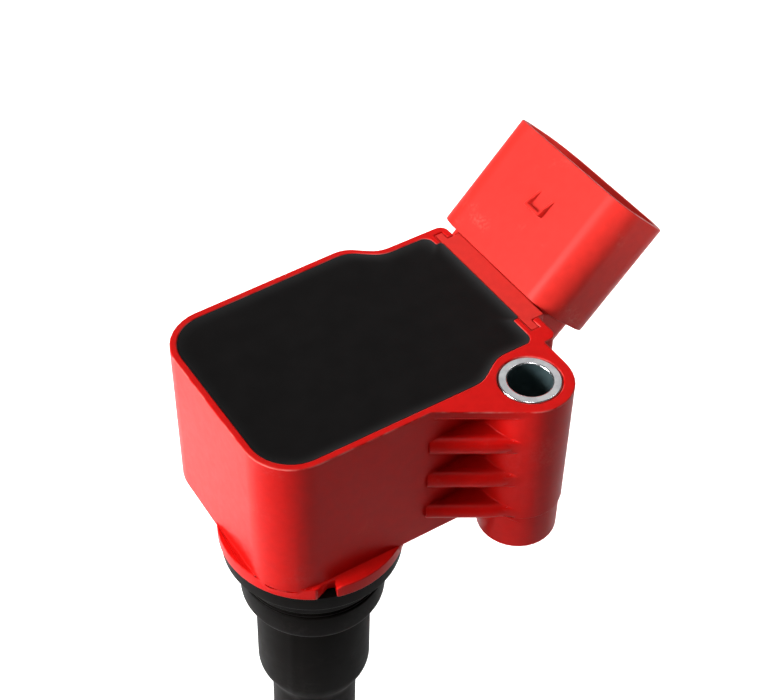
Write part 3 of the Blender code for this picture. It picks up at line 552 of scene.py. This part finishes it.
def cup_outline(inset):
    """The inside of the cup's rim, drawn in by the inset, with the slot beside the connector's plate."""
    wall = CUP_WALL + inset
    end = CUP_END - inset
    slot = end + TAB_SLOT
    slot_from, slot_to = TAB_FROM + inset, TAB_TO - inset
    corner, step_round, end_round, slot_round = CUP_CORNER - wall, 5.0 * MM, 1.5 * MM, 0.3 * MM
    return rounded(
        [
            (-13.75 * MM + wall, -12.5 * MM + wall, corner),
            (22.4 * MM, -12.5 * MM + wall, step_round),
            (27.2 * MM, -9.4 * MM + wall, step_round),
            (end, -9.4 * MM + wall, end_round),
            (end, slot_from, slot_round),
            (slot, slot_from, slot_round),
            (slot, slot_to, slot_round),
            (end, slot_to, slot_round),
            (end, 20.85 * MM - wall, end_round),
            (25.4 * MM, 20.85 * MM - wall, step_round),
            (20.9 * MM, 24.35 * MM - wall, step_round),
            (-13.15 * MM + wall, 23.45 * MM - wall, corner),
        ]
    )


class COIL_OT_potting(bpy.types.Operator):
    """Pour the black resin with its edge drawn up the walls"""

    bl_idname = "coil.potting"
    bl_label = "Potting"

    def execute(self, context):
        choice = settings("coil_resin")
        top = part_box("potting_fill")[1].z
        rise = choice.rise
        creep = 2.2
        steps = [(0.04, -2.0 * MM), (0.04, rise)]
        steps += [(inset, rise * (1 - inset / creep) ** 2.2) for inset in (0.2, 0.45, 0.8, 1.2, 1.7, creep)]
        mesh = loft([(cup_outline(inset * MM), top + height) for inset, height in steps])
        colour = tuple(choice.colour)
        look, tree, shader = node_tree("Black resin")
        fine = grain(tree, 260)
        tint = blend_colours(tree, fine.outputs["Fac"], dimmed(colour, 0.8), colour)
        # Painted highlight: the resin is lighter in a band where it creeps up the walls
        edge = height_band(tree, top + rise, rise)
        tint = mix_colours(tree, product(tree, edge, 0.5), tint, RESIN_EDGE_HIGHLIGHT)
        tree.links.new(tint, shader.inputs["Base Color"])
        tree.links.new(spread(tree, fine.outputs["Fac"], 0.52, 0.62), shader.inputs["Roughness"])
        shader.inputs["Specular IOR Level"].default_value = 0.05
        bump(tree, shader, fine.outputs["Fac"], 0.1, 0.00008)
        new_piece("resin", mesh, look, "potting_fill")
        return {"FINISHED"}


class COIL_OT_seal(bpy.types.Operator):
    """Turn the rubber well seal"""

    bl_idname = "coil.seal"
    bl_label = "Seal"

    def execute(self, context):
        low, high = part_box("seal_grommet")
        end, top = low.z, high.z
        profile = [(TOWER_BORE, top), (TOWER_BORE, end), (9.8 * MM, end)]
        profile += arc(9.8 * MM, end + 1.8 * MM, 1.8 * MM, -90, 0)[1:]
        profile += arc(11.25 * MM, -7.75 * MM, 0.35 * MM, 0, 80, 4)
        profile += arc(11.5 * MM, -6.6 * MM, 0.4 * MM, 260, 100, 6)
        profile += arc(11.65 * MM, -5.45 * MM, 0.35 * MM, -80, 0, 4)
        profile += arc(12.5 * MM, -2.8 * MM, 0.5 * MM, 180, 100, 4)
        profile += arc(13.6 * MM, -1.6 * MM, 0.6 * MM, -80, 0, 4)
        profile += [(14.2 * MM, top)]
        new_piece("seal", spun(profile, 96), black_rubber(), "seal_grommet")
        return {"FINISHED"}


class COIL_OT_boot(bpy.types.Operator):
    """Turn the rubber boot with its parting seam"""

    bl_idname = "coil.boot"
    bl_label = "Boot"

    def execute(self, context):
        low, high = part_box("plug_boot")
        end, top = low.z, high.z
        shoulder = end + 26.0 * MM
        tower_end = -28.3 * MM
        spring_bore, plug_bore = 3.9 * MM, 5.3 * MM
        stem, foot_swell, head_swell = 7.05 * MM, 2.55 * MM, 2.25 * MM
        profile = [(TOWER_BORE, top), (TOWER_BORE, tower_end), (spring_bore, tower_end), (spring_bore, shoulder)]
        profile += [(plug_bore, shoulder - 2.8 * MM), (plug_bore, end + 1.2 * MM), (plug_bore + 1.0 * MM, end)]
        profile += arc(8.6 * MM, end + 1.0 * MM, 1.0 * MM, -90, 0)
        foot_steps, head_steps = 8, 12
        for step in range(foot_steps + 1):
            swell = (1 + math.cos(math.pi * step / foot_steps)) / 2
            profile.append((stem + foot_swell * swell, shoulder - 1.0 * MM + 6.0 * MM * step / foot_steps))
        for step in range(head_steps + 1):
            swell = (1 - math.cos(math.pi * step / head_steps)) / 2
            profile.append((stem + head_swell * swell, -36.5 * MM + 6.5 * MM * step / head_steps))
        profile += arc(stem + head_swell - 0.4 * MM, top - 0.4 * MM, 0.4 * MM, 0, 90, 3)
        mesh = spun(profile, 96)
        raise_seam(mesh, settings("coil_rubber").seam)
        new_piece("boot", mesh, black_rubber(), "plug_boot")
        return {"FINISHED"}


def raise_seam(mesh, height):
    """Lifts one line of the boot's outside, on two opposite sides, where the mould parted."""
    seam_angle = 37.5
    for vert in mesh.verts:
        radius = math.hypot(vert.co.x, vert.co.y)
        angle = math.degrees(math.atan2(vert.co.y, vert.co.x)) % 180
        if radius > TOWER_BORE + 0.1 * MM and abs(angle - seam_angle) < 1.0:
            vert.co.x *= (radius + height) / radius
            vert.co.y *= (radius + height) / radius


class COIL_OT_spring(bpy.types.Operator):
    """Wind the contact spring in the boot"""

    bl_idname = "coil.spring"
    bl_label = "Contact spring"

    def execute(self, context):
        low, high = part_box("contact_spring")
        wire = 0.4 * MM
        radius = 2.5 * MM
        turns, turn_points = 19, 24
        points = turns * turn_points
        curve = bpy.data.curves.new("contact_spring_wire", "CURVE")
        curve.dimensions = "3D"
        curve.bevel_depth = wire
        curve.bevel_resolution = 3
        curve.use_fill_caps = True
        line = curve.splines.new("POLY")
        line.points.add(points)
        top, span = high.z - wire, high.z - low.z - 2 * wire
        for index, point in enumerate(line.points):
            angle = math.tau * index / turn_points
            point.co = (radius * math.cos(angle), radius * math.sin(angle), top - span * index / points, 1)
        wound = bpy.data.objects.new("contact_spring_wire", curve)
        context.scene.collection.objects.link(wound)
        context.view_layer.update()
        data = bpy.data.meshes.new_from_object(wound.evaluated_get(context.evaluated_depsgraph_get()))
        bpy.data.objects.remove(wound)
        mesh = bmesh.new()
        mesh.from_mesh(data)
        bpy.data.meshes.remove(data)
        bmesh.ops.remove_doubles(mesh, verts=mesh.verts, dist=0.001 * MM)
        made = new_piece("spring", mesh, bright_metal(), "contact_spring", body="spring")
        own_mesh(made)
        return {"FINISHED"}


class COIL_OT_terminals(bpy.types.Operator):
    """Dress the connector's blades"""

    bl_idname = "coil.terminals"
    bl_label = "Terminals"

    def execute(self, context):
        look = surface("Tinned brass", (0.62, 0.58, 0.5), (0.76, 0.72, 0.62), 0.3, 1.0, 600)
        for node in sorted(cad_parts):
            if node.startswith("terminal_"):
                paint(soften(node, 0.15 * MM), look)
        return {"FINISHED"}


INNER_LOOKS = {
    "core_frame": ("Core iron", (0.16, 0.16, 0.17), (0.24, 0.24, 0.25), 0.42, 0.9),
    "core_leg": ("Core iron", (0.16, 0.16, 0.17), (0.24, 0.24, 0.25), 0.42, 0.9),
    "core_magnet": ("Magnet", (0.1, 0.1, 0.11), (0.14, 0.14, 0.15), 0.5, 0.5),
    "primary_bobbin": ("Bobbin", (0.48, 0.46, 0.41), (0.56, 0.54, 0.49), 0.5, 0),
    "secondary_bobbin": ("Bobbin", (0.48, 0.46, 0.41), (0.56, 0.54, 0.49), 0.5, 0),
    "primary_winding": ("Copper", (0.46, 0.16, 0.05), (0.58, 0.22, 0.07), 0.35, 0.9),
    "secondary_winding": ("Copper", (0.46, 0.16, 0.05), (0.58, 0.22, 0.07), 0.35, 0.9),
    "igniter_heat_sink": ("Aluminium", (0.7, 0.7, 0.71), (0.8, 0.8, 0.81), 0.35, 1.0),
    "igniter_module": ("Chip", (0.016, 0.016, 0.018), (0.024, 0.024, 0.026), 0.5, 0),
    "hv_diode": ("Chip", (0.016, 0.016, 0.018), (0.024, 0.024, 0.026), 0.5, 0),
    "hv_terminal": ("Tinned pin", (0.62, 0.58, 0.5), (0.76, 0.72, 0.62), 0.3, 1.0),
    "suppressor_resistor": ("Ceramic", (0.68, 0.65, 0.6), (0.78, 0.75, 0.7), 0.4, 0),
}


class COIL_OT_inner(bpy.types.Operator):
    """Dress the transformer, the igniter and the high-voltage path"""

    bl_idname = "coil.inner"
    bl_label = "Inner pieces"

    def execute(self, context):
        looks = {}
        for node, (name, dark, light, rough, metallic) in INNER_LOOKS.items():
            if name not in looks:
                looks[name] = surface(name, dark, light, rough, metallic)
            paint(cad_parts[node], looks[name])
        return {"FINISHED"}


# Studio


def area_light(name, place, aim, size, beam, power):
    """A square soft light pointed at a place, with its beam's spread in degrees."""
    data = bpy.data.lights.new(name, "AREA")
    data.shape = "SQUARE"
    data.size = size
    data.energy = power
    data.spread = math.radians(beam)
    made = bpy.data.objects.new(name, data)
    made.location = place
    made.rotation_euler = (Vector(aim) - Vector(place)).to_track_quat("-Z", "Y").to_euler()
    bpy.context.scene.collection.objects.link(made)


def by_ray(tree, other, camera):
    """A value that differs for what the camera itself sees."""
    path = tree.nodes.new("ShaderNodeLightPath")
    return spread(tree, path.outputs["Is Camera Ray"], other, camera)


def pale_floor(base, glow):
    """A wide, plain, pale floor under the part."""
    mesh = bmesh.new()
    bmesh.ops.create_grid(mesh, x_segments=1, y_segments=1, size=1.2)
    bmesh.ops.translate(mesh, vec=(0, 0, base), verts=mesh.verts)
    data = bpy.data.meshes.new("Floor")
    mesh.to_mesh(data)
    mesh.free()
    look = surface("Floor", (0.85, 0.85, 0.85), (0.87, 0.87, 0.87), 0.9, 0, 20, 0, 0.0001, 0)
    shader = look.node_tree.nodes["Principled BSDF"]
    shader.inputs["Emission Color"].default_value = (1, 1, 1, 1)
    look.node_tree.links.new(by_ray(look.node_tree, 0, glow), shader.inputs["Emission Strength"])
    data.materials.append(look)
    floor = bpy.data.objects.new("Floor", data)
    bpy.context.scene.collection.objects.link(floor)
    floor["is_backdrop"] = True


def surround(strength, backdrop):
    """An even white world."""
    world = bpy.data.worlds.new("Surround")
    world.use_nodes = True
    light = world.node_tree.nodes["Background"]
    light.inputs["Color"].default_value = (1, 1, 1, 1)
    world.node_tree.links.new(by_ray(world.node_tree, strength, backdrop), light.inputs["Strength"])
    bpy.context.scene.world = world


def photo_camera():
    """A camera where the photograph was taken from."""
    turn, tilt, roll = 4.1142, 0.7681, 0.0272
    shift = Vector((10.9908, 6.1353, 251.7254)) * MM
    aim = Vector((0, 0, 30.5 * MM))
    back = Vector((math.cos(tilt) * math.cos(turn), math.cos(tilt) * math.sin(turn), math.sin(tilt)))
    right = Vector((-math.sin(turn), math.cos(turn), 0))
    up = back.cross(right)
    across = right * math.cos(roll) + up * math.sin(roll)
    upward = up * math.cos(roll) - right * math.sin(roll)
    axes = Matrix((across, upward, back)).transposed()
    data = bpy.data.cameras.new("Camera")
    data.sensor_width = SENSOR_WIDE
    data.lens = PHOTO_FOCAL * SENSOR_WIDE / PHOTO_WIDE
    data.clip_start = 0.01
    data.clip_end = 50
    made = bpy.data.objects.new("Camera", data)
    made.matrix_world = Matrix.Translation(axes @ shift + aim) @ axes.to_4x4()
    bpy.context.scene.collection.objects.link(made)
    bpy.context.scene.camera = made


class COIL_OT_studio(bpy.types.Operator):
    """Set the floor, the lights, the surround and the camera"""

    bl_idname = "coil.studio"
    bl_label = "Studio"

    def execute(self, context):
        choice = settings("coil_studio")
        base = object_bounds()[0].z - 0.5 * MM
        pale_floor(base, choice.glow)
        area_light("Key", (-0.55, 0.15, 0.28), (0, 0.01, 0.05), 0.44, 34, choice.key)
        area_light("Top", (-0.2, -0.3, 2.8), (0, 0, 0), 0.5, 180, choice.top)
        area_light("Over", (0.42, 0.06, 0.5), (0.13, 0.2, base), 0.16, 40, choice.over)
        area_light("Side", (0.1, -0.55, 0.3), (0.066, -0.012, 0.06), 0.03, 6, choice.side)
        area_light("Pool", (-0.36, 0.46, 0.5), (-0.12, 0.16, base), 0.1, 26, choice.pool)
        area_light("Back", (0.6, 0.88, 1.05), (0, 0, 0), 1.2, 180, choice.back)
        surround(choice.world, choice.backdrop)
        context.scene.view_settings.view_transform = "Standard"
        photo_camera()
        return {"FINISHED"}


class COIL_PT_looks(bpy.types.Panel):
    """Lists the coil's pieces and their settings"""

    bl_idname = "COIL_PT_looks"
    bl_label = "Ignition Coil"
    bl_space_type = "VIEW_3D"
    bl_region_type = "UI"
    bl_category = "Ignition Coil"

    def draw(self, context):
        for name, group in SETTINGS.items():
            column = self.layout.column(align=True)
            for key in group.__annotations__:
                column.prop(getattr(context.scene, name), key)
        for operator in PIECES:
            self.layout.operator(operator.bl_idname)


SETTINGS = {
    "coil_plastic": CoilPlasticSettings,
    "coil_rubber": CoilRubberSettings,
    "coil_resin": CoilResinSettings,
    "coil_studio": CoilStudioSettings,
}
PIECES = (
    COIL_OT_housing,
    COIL_OT_connector,
    COIL_OT_bush,
    COIL_OT_potting,
    COIL_OT_seal,
    COIL_OT_boot,
    COIL_OT_spring,
    COIL_OT_terminals,
    COIL_OT_inner,
    COIL_OT_studio,
)


def register():
    """Adds the settings, the operators and the panel."""
    for group in SETTINGS.values():
        bpy.utils.register_class(group)
    for name, group in SETTINGS.items():
        setattr(bpy.types.Scene, name, bpy.props.PointerProperty(type=group))
    for cls in (*PIECES, COIL_PT_looks):
        bpy.utils.register_class(cls)


def unregister():
    """Takes them out again."""
    for cls in (COIL_PT_looks, *reversed(PIECES)):
        bpy.utils.unregister_class(cls)
    for name in SETTINGS:
        delattr(bpy.types.Scene, name)
    for group in SETTINGS.values():
        bpy.utils.unregister_class(group)


def main():
    """Dresses every piece and sets the studio."""
    register()
    bpy.ops.coil.housing()
    bpy.ops.coil.connector()
    bpy.ops.coil.bush()
    bpy.ops.coil.potting()
    bpy.ops.coil.seal()
    bpy.ops.coil.boot()
    bpy.ops.coil.spring()
    bpy.ops.coil.terminals()
    bpy.ops.coil.inner()
    bpy.ops.coil.studio()


if __name__ == "__main__":
    main()
